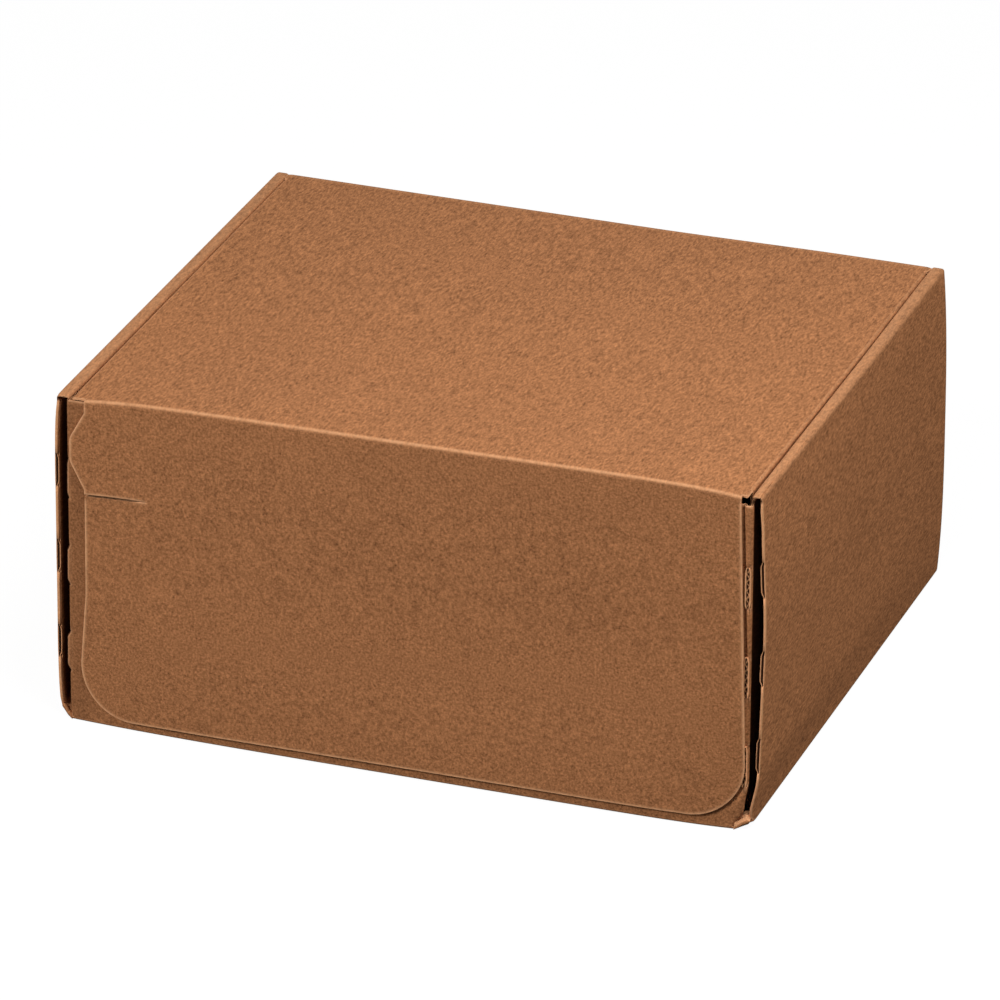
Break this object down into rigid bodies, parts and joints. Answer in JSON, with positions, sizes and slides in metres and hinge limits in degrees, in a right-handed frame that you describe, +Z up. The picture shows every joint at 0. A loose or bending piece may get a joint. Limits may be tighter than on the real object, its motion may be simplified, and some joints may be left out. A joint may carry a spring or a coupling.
{
  "type": "mailer box",
  "caption": "Folded corrugated mailer box with rolled side walls, web corners at the front, a hinged lid and an outer front flap with a pull ear.",
  "frame": {"origin": "under the middle of the closed box, on the surface that it stands on", "axes": "+X to the right along the lid's folds, +Y from the front flap to the back wall, +Z up"},
  "size_m": [0.27, 0.2334, 0.13],
  "materials": {
    "kraft_board": "matte brown kraft liner"
  },
  "bodies": {
    "tray": {"tray": "kraft_board"},
    "lid": {"lid": "kraft_board"},
    "front_flap": {"front_flap": "kraft_board"}
  },
  "joints": [
    {"name": "lid_hinge", "type": "hinge", "parent": "tray", "child": "lid", "pos_m": [0, 0.11615, 0.12945], "axis": [-1, 0, 0], "range_deg": [0, 180]},
    {"name": "flap_hinge", "type": "hinge", "parent": "lid", "child": "front_flap", "pos_m": [0, -0.11615, 0.12945], "axis": [-1, 0, 0], "range_deg": [0, 180]}
  ]
}
